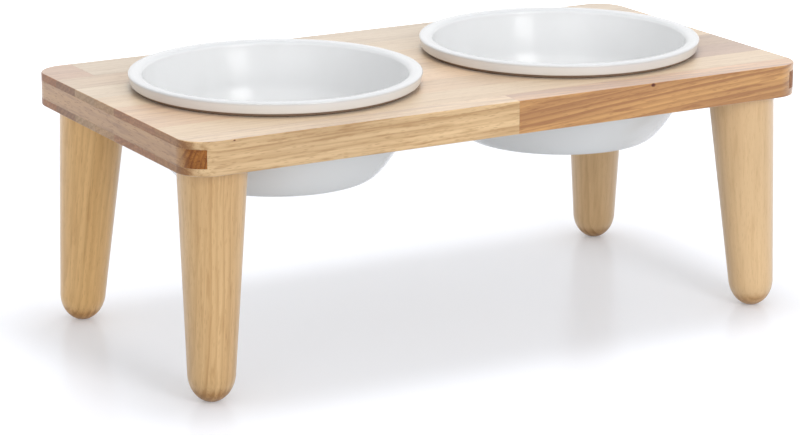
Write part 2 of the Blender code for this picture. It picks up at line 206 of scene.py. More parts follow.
class BowlSettings(bpy.types.PropertyGroup):
    """Shape and glaze of the bowls."""

    steps: IntProperty(
        name="Steps", description="Faces round each bowl", default=144, min=48, max=360)
    rim_inner_round: FloatProperty(
        name="Rim inner round", description="Radius of the rim's inner edge",
        default=0.0036, min=0.0005, unit="LENGTH", precision=4)
    rim_outer_round: FloatProperty(
        name="Rim outer round", description="Radius of the rim's outer edge",
        default=0.0011, min=0.0005, unit="LENGTH", precision=4)
    glaze: FloatVectorProperty(
        name="Glaze", description="Colour of the white glaze",
        default=(0.800, 0.807, 0.815), subtype="COLOR", min=0.0, max=1.0)
    bare_clay: FloatVectorProperty(
        name="Bare clay", description="Colour of the unglazed foot ring",
        default=(0.700, 0.670, 0.620), subtype="COLOR", min=0.0, max=1.0)
    # A dark brown painted on the seat under the rim as the shade in the gap between rim and board
    seat_clay: FloatVectorProperty(
        name="Rim gap shade", description="Dark colour painted as shade on the seat under the rim",
        default=(0.240, 0.165, 0.115), subtype="COLOR", min=0.0, max=1.0)


class FixingSettings(bpy.types.PropertyGroup):
    """Metal of the bolts and inserts that hold the legs."""

    steel: FloatVectorProperty(
        name="Bolt steel", description="Colour of the zinc-plated bolts",
        default=(0.560, 0.570, 0.590), subtype="COLOR", min=0.0, max=1.0)
    insert_metal: FloatVectorProperty(
        name="Insert metal", description="Colour of the cast threaded inserts",
        default=(0.620, 0.580, 0.480), subtype="COLOR", min=0.0, max=1.0)


class StageSettings(bpy.types.PropertyGroup):
    """Floor, background and light of the studio."""

    floor_color: FloatVectorProperty(
        name="Floor", description="Colour of the floor as it lights the object",
        default=(0.680, 0.715, 0.750), subtype="COLOR", min=0.0, max=1.0)
    floor_share: FloatProperty(
        name="Floor shading", description="Share of the seen floor that light and shadow make",
        default=0.86, min=0.0, max=1.0, subtype="FACTOR")
    floor_lift: FloatProperty(
        name="Floor lift", description="White added to the seen floor",
        default=0.21, min=0.0, max=1.0, subtype="FACTOR")
    fill: FloatProperty(
        name="Fill", description="Strength of the light from all round", default=0.58, min=0.0)
    top_power: FloatProperty(
        name="Top light", description="Power of the softbox overhead",
        default=7.5, min=0.0, unit="POWER")
    front_power: FloatProperty(
        name="Front light", description="Power of the tall softbox in front",
        default=8.0, min=0.0, unit="POWER")
    side_power: FloatProperty(
        name="Side light", description="Power of the faint softbox in front on the left",
        default=5.2, min=0.0, unit="POWER")
    back_power: FloatProperty(
        name="Back light",
        description="Power of the wide softbox behind, which the lacquer mirrors",
        default=14.0, min=0.0, unit="POWER")


class NodeSheet:
    """Adds nodes to one node tree and links them as they are given."""

    def __init__(self, tree):
        self.tree = tree
        self.count = 0

    def feed(self, socket, value):
        """Link a socket to another, or set its value."""
        if isinstance(value, bpy.types.NodeSocket):
            self.tree.links.new(value, socket)
        else:
            socket.default_value = value

    def fill(self, node, values):
        """Feed a node's inputs, given by name or number."""
        for name, value in values.items():
            self.feed(node.inputs[name], value)
        return node

    def put(self, kind, values=None, **settings):
        """Add a node with its settings and its inputs."""
        node = self.tree.nodes.new(kind)
        node.location = (200.0 * (self.count // 5), -220.0 * (self.count % 5))
        self.count += 1
        for name, value in settings.items():
            setattr(node, name, value)
        return self.fill(node, values or {})

    def math(self, operation, *values):
        """A Math node's result."""
        return self.put("ShaderNodeMath", dict(enumerate(values)), operation=operation).outputs[0]

    def vector(self, operation, *values):
        """A Vector Math node's vector, or its value where it gives a number."""
        node = self.put("ShaderNodeVectorMath", dict(enumerate(values)), operation=operation)
        return node.outputs["Value" if operation in {"LENGTH", "DOT_PRODUCT"} else "Vector"]

    def ease(self, value, start, end, low=0.0, high=1.0):
        """A value mapped smoothly from one range to another."""
        spans = {"Value": value, "From Min": start, "From Max": end, "To Min": low, "To Max": high}
        return self.put("ShaderNodeMapRange", spans, interpolation_type="SMOOTHSTEP").outputs[0]

    def noise(self, place, cells, detail=2.0, roughness=0.5):
        """A noise with so many cells to the metre along each axis: (factor, colour)."""
        scaled = self.vector("MULTIPLY", place, cells)
        values = {"Vector": scaled, "Scale": 1.0, "Detail": detail, "Roughness": roughness}
        node = self.put("ShaderNodeTexNoise", values)
        return node.outputs[0], node.outputs[1]

    def blend(self, factor, first, second, mode="MIX"):
        """Two colours mixed."""
        colors = {0: factor, 6: first, 7: second}
        return self.put("ShaderNodeMix", colors, data_type="RGBA", blend_type=mode).outputs[2]

    def bump(self, height, strength, distance):
        """The normal that a fine height gives a surface."""
        values = {"Height": height, "Strength": strength, "Distance": distance}
        return self.put("ShaderNodeBump", values).outputs["Normal"]


def new_group(name, inputs, outputs):
    """A shader node group with named sockets: (group, its sheet, what it is given, its end)."""
    group = bpy.data.node_groups.new(name, "ShaderNodeTree")
    for label, kind, value in inputs:
        socket = group.interface.new_socket(label, in_out="INPUT", socket_type="NodeSocket" + kind)
        if value is not None:
            socket.default_value = value
    for label, kind in outputs:
        group.interface.new_socket(label, in_out="OUTPUT", socket_type="NodeSocket" + kind)
    sheet = NodeSheet(group)
    entry = sheet.put("NodeGroupInput")
    leave = sheet.put("NodeGroupOutput")
    leave.location = (3200.0, 0.0)
    return group, sheet, entry.outputs, leave


# Cells to the metre of each part of the wood's figure, along the grain and across it
DRIFT_CELLS = (5.0, 22.0, 22.0)
JITTER_CELLS = (13.0, 150.0, 150.0)
STREAK_CELLS = (8.0, 260.0, 260.0)
DASH_CELLS = (42.0, 480.0, 480.0)
FIBRE_CELLS = (34.0, 1500.0, 1500.0)
BLOTCH_CELLS = (6.0, 18.0, 18.0)
PORE_CELLS = (150.0, 1150.0, 1150.0)
# Shares of a ring: how far its line wanders, and where its wood darkens and turns pale
RING_WANDER = 0.7
RING_RISE = (0.10, 0.90)
RING_FALL = (0.91, 1.0)
# How dark the rings of different years are, and how much of a dark spell a ring lasts
YEAR_TONES = (0.25, 1.0)
SPELL_PER_RING = 0.31
# What streaks and dashes each give to the tone
STREAK_SHARE = 0.75
# How much further than "End Start" a face has to turn to be end grain all over
END_SPAN = 0.34


def sawn_wood_group():
    """Solid wood, the same through and through: rings, streaks, fibres and pores."""
    if "sawn_wood" in bpy.data.node_groups:
        return bpy.data.node_groups["sawn_wood"]
    group, sheet, given, result = new_group(
        "sawn_wood",
        (
            ("Position", "Vector", None),
            ("Normal", "Vector", None),
            ("Grain Direction", "Vector", (1.0, 0.0, 0.0)),
            ("Light Wood", "Color", (0.6, 0.4, 0.2, 1.0)),
            ("Dark Wood", "Color", (0.4, 0.2, 0.1, 1.0)),
            ("End Shade", "Color", (0.7, 0.55, 0.48, 1.0)),
            ("End Start", "Float", 0.28),
            ("Ring Spacing", "Float", 0.003),
            ("Ring Strength", "Float", 0.5),
            ("Waver", "Float", 0.008),
            ("Streak Strength", "Float", 0.5),
            ("Pore Strength", "Float", 0.5),
            ("Seed", "Float", 0.0),
        ),
        (("Color", "Color"), ("Roughness", "Float"), ("Lacquer", "Float"), ("Height", "Float")),
    )
    position = given["Position"]
    shifted = sheet.vector("ADD", position, given["Seed"])

    # Growth rings round the tree's middle, which waver along the grain
    drift = sheet.vector("SUBTRACT", sheet.noise(shifted, DRIFT_CELLS)[1], (0.5, 0.5, 0.5))
    waver = {"Y": given["Waver"], "Z": given["Waver"]}
    drift = sheet.vector("MULTIPLY", drift, sheet.put("ShaderNodeCombineXYZ", waver).outputs[0])
    bent = sheet.vector("MULTIPLY", sheet.vector("ADD", position, drift), (0.0, 1.0, 1.0))
    rings = sheet.math("DIVIDE", sheet.vector("LENGTH", bent), given["Ring Spacing"])
    jitter = sheet.noise(shifted, JITTER_CELLS, 3.0)[0]
    rings = sheet.math("ADD", rings, sheet.math("MULTIPLY", jitter, RING_WANDER))
    phase = sheet.math("FRACT", rings)
    rise = sheet.math("POWER", sheet.ease(phase, *RING_RISE), 2.0)
    fall = sheet.ease(phase, *RING_FALL, 1.0, 0.0)
    year = sheet.put("ShaderNodeTexWhiteNoise", noise_dimensions="1D")
    sheet.feed(year.inputs["W"], sheet.math("ADD", sheet.math("FLOOR", rings), given["Seed"]))
    year = sheet.ease(year.outputs["Value"], 0.0, 1.0, *YEAR_TONES)
    late = sheet.math("MULTIPLY", sheet.math("MULTIPLY", rise, fall), year)
    spell = sheet.put("ShaderNodeTexNoise", {
        "W": sheet.math("ADD", sheet.math("MULTIPLY", rings, SPELL_PER_RING), given["Seed"]),
        "Scale": 1.0, "Detail": 1.0,
    }, noise_dimensions="1D")
    spell = sheet.ease(spell.outputs[0], 0.36, 0.64)

    # Streaks, dashes and fibres along the grain, and slow blotches
    streak = sheet.ease(sheet.noise(shifted, STREAK_CELLS, 4.0, 0.62)[0], 0.36, 0.70)
    dash = sheet.ease(sheet.noise(shifted, DASH_CELLS, 3.0)[0], 0.52, 0.70)
    dash = sheet.math("MULTIPLY", dash, STREAK_SHARE)
    streak = sheet.math("MULTIPLY_ADD", streak, STREAK_SHARE, dash)
    fibre = sheet.noise(shifted, FIBRE_CELLS)[0]
    blotch = sheet.ease(sheet.noise(shifted, BLOTCH_CELLS)[0], 0.3, 0.7, 0.93, 1.06)

    # Pores, fewest in the dark end of a ring, and the faces that cut across the grain
    cells = sheet.put("ShaderNodeTexVoronoi", {
        "Vector": sheet.vector("MULTIPLY", shifted, PORE_CELLS), "Scale": 1.0,
    })
    pores = sheet.ease(cells.outputs["Distance"], 0.14, 0.34, 1.0, 0.0)
    early = sheet.math("SUBTRACT", 1.0, sheet.math("MULTIPLY", late, 0.6))
    pores = sheet.math("MULTIPLY", sheet.math("MULTIPLY", pores, early), given["Pore Strength"])
    facing = sheet.vector("DOT_PRODUCT", given["Normal"], given["Grain Direction"])
    end_full = sheet.math("ADD", given["End Start"], END_SPAN)
    end_grain = sheet.ease(sheet.math("ABSOLUTE", facing), given["End Start"], end_full)

    # From light wood to dark, deeper in the pores and on end grain
    tone = sheet.math("MULTIPLY", late, sheet.math("MULTIPLY_ADD", spell, 0.6, 0.4))
    tone = sheet.math("MULTIPLY_ADD", spell, 0.3, tone)
    tone = sheet.math("MULTIPLY", tone, given["Ring Strength"])
    tone = sheet.math("ADD", tone, sheet.math("MULTIPLY", streak, given["Streak Strength"]))
    threads = sheet.math("MULTIPLY", sheet.math("SUBTRACT", fibre, 0.5), 0.30)
    tone = sheet.math("ADD", tone, threads)
    tone = sheet.math("MULTIPLY", tone, sheet.math("MULTIPLY_ADD", end_grain, 0.6, 1.0))
    tone = sheet.math("MULTIPLY_ADD", sheet.math("MULTIPLY", late, end_grain), 0.9, tone)
    tone = sheet.put("ShaderNodeClamp", {"Value": tone}).outputs[0]
    color = sheet.blend(tone, given["Light Wood"], given["Dark Wood"])
    color = sheet.blend(1.0, color, blotch, "MULTIPLY")
    depth = sheet.math("MULTIPLY", pores, sheet.math("MULTIPLY_ADD", end_grain, 0.4, 0.5))
    pore_color = sheet.blend(1.0, given["Dark Wood"], (0.72, 0.64, 0.55, 1.0), "MULTIPLY")
    color = sheet.blend(depth, color, pore_color)
    end_color = sheet.blend(1.0, color, given["End Shade"], "MULTIPLY")
    color = sheet.blend(end_grain, color, end_color)

    rough = sheet.math("MULTIPLY_ADD", streak, 0.06, 0.38)
    rough = sheet.math("MULTIPLY_ADD", end_grain, 0.20, rough)
    rough = sheet.math("MULTIPLY_ADD", pores, 0.12, rough)
    lacquer = sheet.math("MULTIPLY_ADD", end_grain, -0.65, 0.90)
    lacquer = sheet.math("MULTIPLY_ADD", pores, -0.20, lacquer)
    height = sheet.math("MULTIPLY", fibre, 0.30)
    height = sheet.math("ADD", sheet.math("MULTIPLY", late, 0.25), height)
    height = sheet.math("SUBTRACT", height, sheet.math("MULTIPLY", pores, 0.8))
    sheet.fill(result, {
        "Color": color, "Roughness": rough, "Lacquer": lacquer, "Height": height,
    })
    return group


def pin_knot_group():
    """A small dark knot: a mask round one point, with its own reach along each axis."""
    if "pin_knot" in bpy.data.node_groups:
        return bpy.data.node_groups["pin_knot"]
    group, sheet, given, result = new_group(
        "pin_knot",
        (
            ("Position", "Vector", None),
            ("Centre", "Vector", (0.0, 0.0, 0.0)),
            ("Reach", "Vector", (0.003, 0.002, 0.002)),
        ),
        (("Mask", "Float"),),
    )
    away = sheet.vector("SUBTRACT", given["Position"], given["Centre"])
    away = sheet.vector("LENGTH", sheet.vector("DIVIDE", away, given["Reach"]))
    wobble = sheet.noise(given["Position"], (500.0, 500.0, 500.0))[0]
    wobble = sheet.math("MULTIPLY", sheet.math("SUBTRACT", wobble, 0.5), 0.7)
    away = sheet.math("ADD", away, wobble)
    sheet.fill(result, {"Mask": sheet.ease(away, 0.45, 1.0, 1.0, 0.0)})
    return group


def new_material(name):
    """A material with its node sheet and its Principled shader."""
    material = bpy.data.materials.new(name)
    material.use_nodes = True
    sheet = NodeSheet(material.node_tree)
    shader = material.node_tree.nodes["Principled BSDF"]
    shader.location = (1400.0, 0.0)
    material.node_tree.nodes["Material Output"].location = (1700.0, 0.0)
    return material, sheet, shader


def darker(color, shares):
    """A colour with each part multiplied by its share."""
    return [value * share for value, share in zip(color, shares)]


KNOT_BROWN = (0.105, 0.016, 0.002, 1.0)


def wood_material(name, light, dark, end_shade, *, pith, tilt, spacing, rings, streaks, pores,
                  seed, axis=(1.0, 0.0, 0.0), origin=(0.0, 0.0, 0.0), waver=0.008, haze=0.40,
                  end_start=0.28, knots=()):
    """Lacquered wood whose grain runs along an axis through an origin.

    pith is where the tree's middle lies from that origin, as (along, across, up), and
    tilt leans the grain off its axis, in degrees about up and across. haze is the pale
    bloom of the satin finish seen edge on, end_start is how far a face has to turn to
    the grain before it looks like end grain, and each knot is a centre and its reach.
    """
    material, sheet, shader = new_material(name)
    coordinates = sheet.put("ShaderNodeTexCoord")
    lean = Euler((0.0, math.radians(tilt[1]), math.radians(tilt[0]))).to_matrix()
    turn = lean @ Vector(axis).rotation_difference(Vector((1.0, 0.0, 0.0))).to_matrix()
    place = sheet.put("ShaderNodeMapping", {
        "Vector": coordinates.outputs["Object"],
        "Rotation": turn.to_euler(),
        "Location": -(turn @ Vector(origin)) - Vector(pith),
    })
    wood = sheet.put("ShaderNodeGroup", {
        "Position": place.outputs[0],
        "Normal": coordinates.outputs["Normal"],
        "Grain Direction": axis,
        "Light Wood": (*light, 1.0),
        "Dark Wood": (*dark, 1.0),
        "End Shade": (*end_shade, 1.0),
        "End Start": end_start,
        "Ring Spacing": spacing,
        "Ring Strength": rings,
        "Waver": waver,
        "Streak Strength": streaks,
        "Pore Strength": pores,
        "Seed": seed,
    }, node_tree=sawn_wood_group()).outputs
    color = wood["Color"]
    lacquer = wood["Lacquer"]
    for centre, reach in knots:
        mask = sheet.put("ShaderNodeGroup", {
            "Position": coordinates.outputs["Object"], "Centre": centre, "Reach": reach,
        }, node_tree=pin_knot_group()).outputs["Mask"]
        color = sheet.blend(mask, color, KNOT_BROWN)
        lacquer = sheet.math("MULTIPLY", lacquer, sheet.math("SUBTRACT", 1.0, mask))
    sheet.fill(shader, {
        "Base Color": color,
        "Roughness": wood["Roughness"],
        "Specular IOR Level": 0.20,
        "Coat Weight": lacquer,
        "Coat Roughness": 0.42,
        "Sheen Weight": haze,
        "Normal": sheet.bump(wood["Height"], 0.35, 0.2 * MM),
    })
    return material


def new_mesh(name, bm):
    """A mesh made from a bmesh, which is freed."""
    mesh = bpy.data.meshes.new(name)
    bm.to_mesh(mesh)
    bm.free()
    return mesh


def add_object(name, data, place=(0.0, 0.0, 0.0)):
    """Put a mesh, lamp or camera in the scene."""
    obj = bpy.data.objects.new(name, data)
    bpy.context.scene.collection.objects.link(obj)
    obj.location = place
    return obj


def remove_objects(objects):
    """Remove helper objects and their meshes."""
    for obj in objects:
        mesh = obj.data
        bpy.data.objects.remove(obj)
        bpy.data.meshes.remove(mesh)


def new_piece(name, mesh, materials):
    """Put a finished mesh in the scene with its materials."""
    mesh.materials.clear()
    for material in materials:
        mesh.materials.append(material)
    return add_object(name, mesh)


def take_place(piece, node, body):
    """The piece rides on its body and stands for its node, which is hidden."""
    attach(piece, body)
    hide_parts(node)


def smooth(mesh, angle):
    """Shade a mesh smooth, apart from edges that turn further than an angle in degrees."""
    mesh.shade_smooth()
    mesh.set_sharp_from_angle(angle=math.radians(angle))


def settled(obj):
    """A copy of an object's mesh with its modifiers in it."""
    depsgraph = bpy.context.evaluated_depsgraph_get()
    return bpy.data.meshes.new_from_object(obj.evaluated_get(depsgraph))


def cut(target, cutter, operation):
    """Add an exact Boolean to an object."""
    modifier = target.modifiers.new(operation.lower(), "BOOLEAN")
    modifier.operation = operation
    modifier.solver = "EXACT"
    modifier.object = cutter


def planed(helper):
    """A cut helper's mesh, with its flat faces kept flat where they run into a small round."""
    mesh = settled(helper)
    if not mesh.polygons:
        raise RuntimeError("no wood is left of " + helper.name)
    smooth(mesh, 35.0)
    holder = add_object("holder", mesh)
    modifier = holder.modifiers.new("flats", "WEIGHTED_NORMAL")
    modifier.mode = "FACE_AREA"
    modifier.keep_sharp = True
    mesh = settled(holder)
    remove_objects([helper, holder])
    return mesh


def arc(centre_x, centre_y, radius, start, end, count, height=None):
    """Points on an arc or, with its own height, on an ellipse."""
    rise = radius if height is None else height
    points = []
    for i in range(count + 1):
        angle = math.radians(start + (end - start) * i / count)
        points.append((centre_x + radius * math.cos(angle), centre_y + rise * math.sin(angle)))
    return points


def bezier(p0, p1, p2, p3, count):
    """Points of a section on a cubic curve."""
    points = []
    for i in range(count + 1):
        t = i / count
        s = 1.0 - t
        weights = (s ** 3, 3.0 * s * s * t, 3.0 * s * t * t, t ** 3)
        r = sum(w * p[0] for w, p in zip(weights, (p0, p1, p2, p3)))
        z = sum(w * p[1] for w, p in zip(weights, (p0, p1, p2, p3)))
        points.append((r, z))
    return points


def turn_section(name, section, steps):
    """A closed turned mesh from a section that starts and ends on the axis."""
    bm = bmesh.new()
    rings = []
    for r, z in section:
        if r < MM * 0.001:
            rings.append([bm.verts.new((0.0, 0.0, z))])
            continue
        ring = []
        for i in range(steps):
            angle = math.tau * i / steps
            ring.append(bm.verts.new((r * math.cos(angle), r * math.sin(angle), z)))
        rings.append(ring)
    for first, second in zip(rings, rings[1:]):
        for i in range(steps):
            j = (i + 1) % steps
            corners = [first[i % len(first)], first[j % len(first)],
                       second[j % len(second)], second[i % len(second)]]
            corners = [c for k, c in enumerate(corners) if c not in corners[:k]]
            if len(corners) > 2:
                bm.faces.new(corners)
    bmesh.ops.recalc_face_normals(bm, faces=bm.faces)
    return new_mesh(name, bm)


def rounded_outline(half_x, half_y, radius, steps):
    """Points round a rectangle with rounded corners."""
    points = []
    for sign_x, sign_y, start in ((1, 1, 0), (-1, 1, 90), (-1, -1, 180), (1, -1, 270)):
        centre = (sign_x * (half_x - radius), sign_y * (half_y - radius))
        points += arc(*centre, radius, start, start + 90, steps)
    return points


def board_blank(settings):
    """The whole board as one closed mesh, with round corners and eased edges."""
    half_x = (BOARD_HIGH.x - BOARD_LOW.x) / 2.0
    half_y = (BOARD_HIGH.y - BOARD_LOW.y) / 2.0
    ease = settings.edge_round
    section = arc(ease, BOARD_LOW.z + ease, ease, 270, 180, BOARD_EDGE_STEPS)
    section += arc(ease, BOARD_HIGH.z - ease, ease, 180, 90, BOARD_EDGE_STEPS)
    bm = bmesh.new()
    loops = []
    for inset, z in section:
        radius = settings.corner_radius - inset
        outline = rounded_outline(half_x - inset, half_y - inset, radius, BOARD_CORNER_STEPS)
        loops.append([bm.verts.new((x, y, z)) for x, y in outline])
    count = len(loops[0])
    for low, high in zip(loops, loops[1:]):
        for i in range(count):
            j = (i + 1) % count
            bm.faces.new((low[i], low[j], high[j], high[i]))
    bm.faces.new(loops[0][::-1])
    bm.faces.new(loops[-1])
    return new_mesh("board_blank", bm)


def box_mesh(name, low, high):
    """A closed box between two corners."""
    bm = bmesh.new()
    bmesh.ops.create_cube(bm, size=1.0)
    for vert in bm.verts:
        vert.co = [low[i] + (vert.co[i] + 0.5) * (high[i] - low[i]) for i in range(3)]
    return new_mesh(name, bm)


def hole_section(settings):
    """Section of a bowl hole's cutter, with the eased edges of the hole."""
    ease = settings.hole_round
    round_x = HOLE_RADIUS + ease
    outer = round_x + TRIM_REACH
    top = BOARD_HIGH.z + TRIM_REACH
    bottom = BOARD_LOW.z - TRIM_REACH
    section = [(0.0, top), (outer, top), (outer, BOARD_HIGH.z)]
    section += arc(round_x, BOARD_HIGH.z - ease, ease, 90, 180, HOLE_EDGE_STEPS)
    section += arc(round_x, BOARD_LOW.z + ease, ease, 180, 270, HOLE_EDGE_STEPS)
    section += [(outer, BOARD_LOW.z), (outer, bottom), (0.0, bottom)]
    return section


def hole_centre(side):
    """The middle of one bowl, in plan."""
    low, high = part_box("bowl_" + side)
    return (low.x + high.x) / 2.0, (low.y + high.y) / 2.0


def stave_span(node, hairline):
    """The box that a stave fills before the outline and the holes trim it."""
    low, high = (Vector(corner) for corner in STAVE_BOXES[node])
    grow = (GLUE_LINE - hairline) / 2.0
    for i in range(3):
        edge = TRIM_REACH if i == 2 or low[i] <= BOARD_LOW[i] + GLUE_LINE else grow
        low[i] -= edge
        edge = TRIM_REACH if i == 2 or high[i] >= BOARD_HIGH[i] - GLUE_LINE else grow
        high[i] += edge
    tags = node.split("_")
    if tags[-1].isdigit():
        left = hole_centre("left")[0]
        right = hole_centre("right")[0]
        if tags[1] != "right":
            high.x = {"left": left, "middle": right}[tags[1]]
        if tags[1] != "left":
            low.x = {"middle": left, "right": right}[tags[1]]
    return low, high


def groove_box(side, grow):
    """The box of an end key, grown into the board and long enough to be trimmed by it."""
    low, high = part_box("end_key_" + side)
    low = Vector((low.x, BOARD_LOW.y - TRIM_REACH, low.z - grow))
    high = Vector((high.x, BOARD_HIGH.y + TRIM_REACH, high.z + grow))
    if side == "left":
        low.x = BOARD_LOW.x - TRIM_REACH
        high.x += grow
    else:
        high.x = BOARD_HIGH.x + TRIM_REACH
        low.x -= grow
    return low, high


def wood_tones(settings):
    """Light tone, dark tone and end shade of each wood slot."""
    shares = {
        "stave_tan": (settings.tan_wood, (0.62, 0.52, 0.38), (0.62, 0.44, 0.27)),
        "stave_orange": (settings.orange_wood, (0.55, 0.42, 0.28), (0.72, 0.60, 0.52)),
        "stave_pink": (settings.pink_wood, (0.72, 0.63, 0.55), (0.74, 0.53, 0.36)),
        "stave_pale": (settings.pale_wood, (0.74, 0.66, 0.55), (0.80, 0.66, 0.54)),
        "stave_mid": (settings.mid_wood, (0.68, 0.58, 0.47), (0.66, 0.46, 0.32)),
        "end_key": (settings.key_wood, (0.54, 0.43, 0.30), (0.76, 0.57, 0.33)),
    }
    return {
        slot: (list(light), darker(light, share), end)
        for slot, (light, share, end) in shares.items()
    }


# What sets a stave's wood apart from the plain ones. "tone" multiplies its light and
# dark tones, and "end" takes the place of its end shade.
STAVE_WOOD = {
    "stave_front_left": {
        "pith": (0.0, -0.045, -0.055), "tilt": (-0.3, 0.8), "spacing": 0.0024,
        "rings": 0.55, "waver": 0.010, "streaks": 0.80, "pores": 0.9,
        "haze": 0.55, "end_start": 0.60,
        "knots": (((-0.1739, -0.1035, 0.1484), (0.0010, 0.0008, 0.0005)),),
    },
    "stave_front_inner": {"spacing": 0.0020, "end": (0.62, 0.41, 0.24)},
    "stave_left_1": {"tone": (1.20, 1.18, 1.22)},
    "stave_left_2": {"tone": (1.12, 1.06, 1.03)},
    "stave_left_4": {"tone": (0.95, 1.02, 1.16)},
    "stave_left_5": {"tone": (0.93, 0.96, 1.04)},
    "stave_middle_2": {"tone": (1.00, 0.98, 1.05)},
    "stave_middle_5": {"tone": (0.90, 0.95, 1.06)},
    # stave_right_1 and stave_right_2 are darkened well below their slot's wood as painted shade,
    # for the weaker sheen on the right end of the top
    "stave_right_1": {"tone": (0.66, 0.57, 0.51)},
    "stave_right_2": {"tone": (0.64, 0.57, 0.51)},
    "stave_back_left": {"tone": (0.81, 0.70, 0.60), "end": (0.90, 0.66, 0.42)},
    "stave_back": {"tone": (0.88, 0.94, 1.08)},
    "stave_front_right": {
        "pith": (0.0, -0.0435, 0.060), "tilt": (0.3, 3.6), "spacing": 0.0027,
        "tone": (1.06, 1.07, 1.06),
        "rings": 1.50, "waver": 0.006, "streaks": 0.62, "pores": 0.7,
        "haze": 0.55, "end_start": 0.60,
        "knots": (((0.0920, -0.1035, 0.1480), (0.0022, 0.0016, 0.0014)),),
    },
}


class FEEDER_OT_staves(bpy.types.Operator):
    """Glue up the board from its staves, round its edges and cut the holes"""

    bl_idname = "feeder.staves"
    bl_label = "Lay the staves"

    def execute(self, context):
        settings = context.scene.feeder_board
        tones = wood_tones(settings)
        blank = add_object("board_blank", board_blank(settings))
        holes = []
        grooves = []
        for side in ("left", "right"):
            mesh = turn_section("hole", hole_section(settings), HOLE_STEPS)
            holes.append(add_object("hole_" + side, mesh, (*hole_centre(side), 0.0)))
            mesh = box_mesh("groove", *groove_box(side, GLUE_LINE))
            grooves.append(add_object("groove_" + side, mesh))
        for i, node in enumerate(STAVES):
            low, high = stave_span(node, settings.hairline)
            stave = add_object(node + "_sawn", box_mesh(node, low, high))
            cut(stave, blank, "INTERSECT")
            for hole in holes:
                cut(stave, hole, "DIFFERENCE")
            if low.x < BOARD_LOW.x:
                cut(stave, grooves[0], "DIFFERENCE")
            if high.x > BOARD_HIGH.x:
                cut(stave, grooves[1], "DIFFERENCE")
            mesh = planed(stave)
            light, dark, end_shade = tones[SLOT_OF[node]]
            # A plain stave's cut through the log, a little different for each
            look = {
                "pith": (0.0, -0.080 + 0.009 * (i % 5), -0.030 - 0.006 * (i % 4)),
                "tilt": (0.5 * (i % 3) - 0.5, 0.4 * (i % 4) - 0.6),
                "spacing": 0.0028 + 0.0004 * (i % 3),
                "rings": 0.42, "streaks": 0.58, "pores": 0.7, "seed": 1.7 * i + 0.3,
            }
            look.update(STAVE_WOOD.get(node, {}))
            tone = look.pop("tone", (1.0, 1.0, 1.0))
            end_shade = look.pop("end", end_shade)
            material = wood_material(
                node + "_wood", darker(light, tone), darker(dark, tone), end_shade, **look)
            piece = new_piece(node + "_planed", mesh, [material])
            take_place(piece, node, "stand")
        remove_objects([blank, *holes, *grooves])
        return {"FINISHED"}


class FEEDER_OT_end_keys(bpy.types.Operator):
    """Let a square key into the groove in each end of the board"""

    bl_idname = "feeder.end_keys"
    bl_label = "Fit the end keys"

    def execute(self, context):
        settings = context.scene.feeder_board
        light, dark, end_shade = wood_tones(settings)["end_key"]
        blank = add_object("board_blank", board_blank(settings))
        for i, node in enumerate(KEYS):
            side = node.split("_")[-1]
            mesh = box_mesh(node, *groove_box(side, GLUE_LINE - settings.hairline))
            key = add_object(node + "_sawn", mesh)
            cut(key, blank, "INTERSECT")
            mesh = planed(key)
            material = wood_material(
                node + "_wood", light, dark, end_shade, axis=(0.0, 1.0, 0.0),
                pith=(0.0, -0.02, 0.09), tilt=(0.6, 0.5), spacing=0.0019, rings=0.4,
                streaks=0.5, pores=1.0, seed=41.0 + i, haze=0.10)
            piece = new_piece(node + "_planed", mesh, [material])
            take_place(piece, node, "stand")
        remove_objects([blank])
        return {"FINISHED"}


# node: (seed, pith across and up, ring strength, share of fine grain, tone)
LEG_WOOD = {
    "leg_front_left": (3.1, (0.004, 0.046), 0.52, 0.88, (1.02, 0.99, 0.94)),
    "leg_front_right": (8.4, (-0.060, 0.020), 0.24, 0.46, (1.06, 1.08, 1.17)),
    "leg_back_left": (5.2, (-0.012, 0.055), 0.42, 0.76, (1.19, 1.11, 0.92)),
    "leg_back_right": (6.7, (0.050, 0.012), 0.45, 0.38, (1.08, 1.07, 1.11)),
}


def leg_section(length):
    """Section of a leg, down from the board's underside to the end of its dome."""
    slope = (LEG_TOP_RADIUS - LEG_FOOT_RADIUS) / length
    section = [(0.0, TRIM_REACH), (LEG_TOP_RADIUS + slope * TRIM_REACH, TRIM_REACH)]
    for i in range(1, LEG_TAPER_STEPS):
        down = length * i / LEG_TAPER_STEPS
        section.append((LEG_TOP_RADIUS - slope * down, -down))
    section += arc(0.0, -length, LEG_FOOT_RADIUS, 0, -90, LEG_DOME_STEPS, LEG_DOME)
    section[-1] = (0.0, section[-1][1])
    return section


def trim_leg(mesh):
    """Cut a leg off flat at the board's underside and at the floor."""
    bm = bmesh.new()
    bm.from_mesh(mesh)
    for height, up in ((BOARD_LOW.z, 1.0), (0.0, -1.0)):
        found = bmesh.ops.bisect_plane(
            bm, geom=bm.verts[:] + bm.edges[:] + bm.faces[:], dist=1e-7,
            plane_co=(0.0, 0.0, height), plane_no=(0.0, 0.0, up), clear_outer=True)
        rim = [e for e in found["geom_cut"] if isinstance(e, bmesh.types.BMEdge)]
        bmesh.ops.holes_fill(bm, edges=rim, sides=0)
    bmesh.ops.recalc_face_normals(bm, faces=bm.faces)
    bm.to_mesh(mesh)
    bm.free()


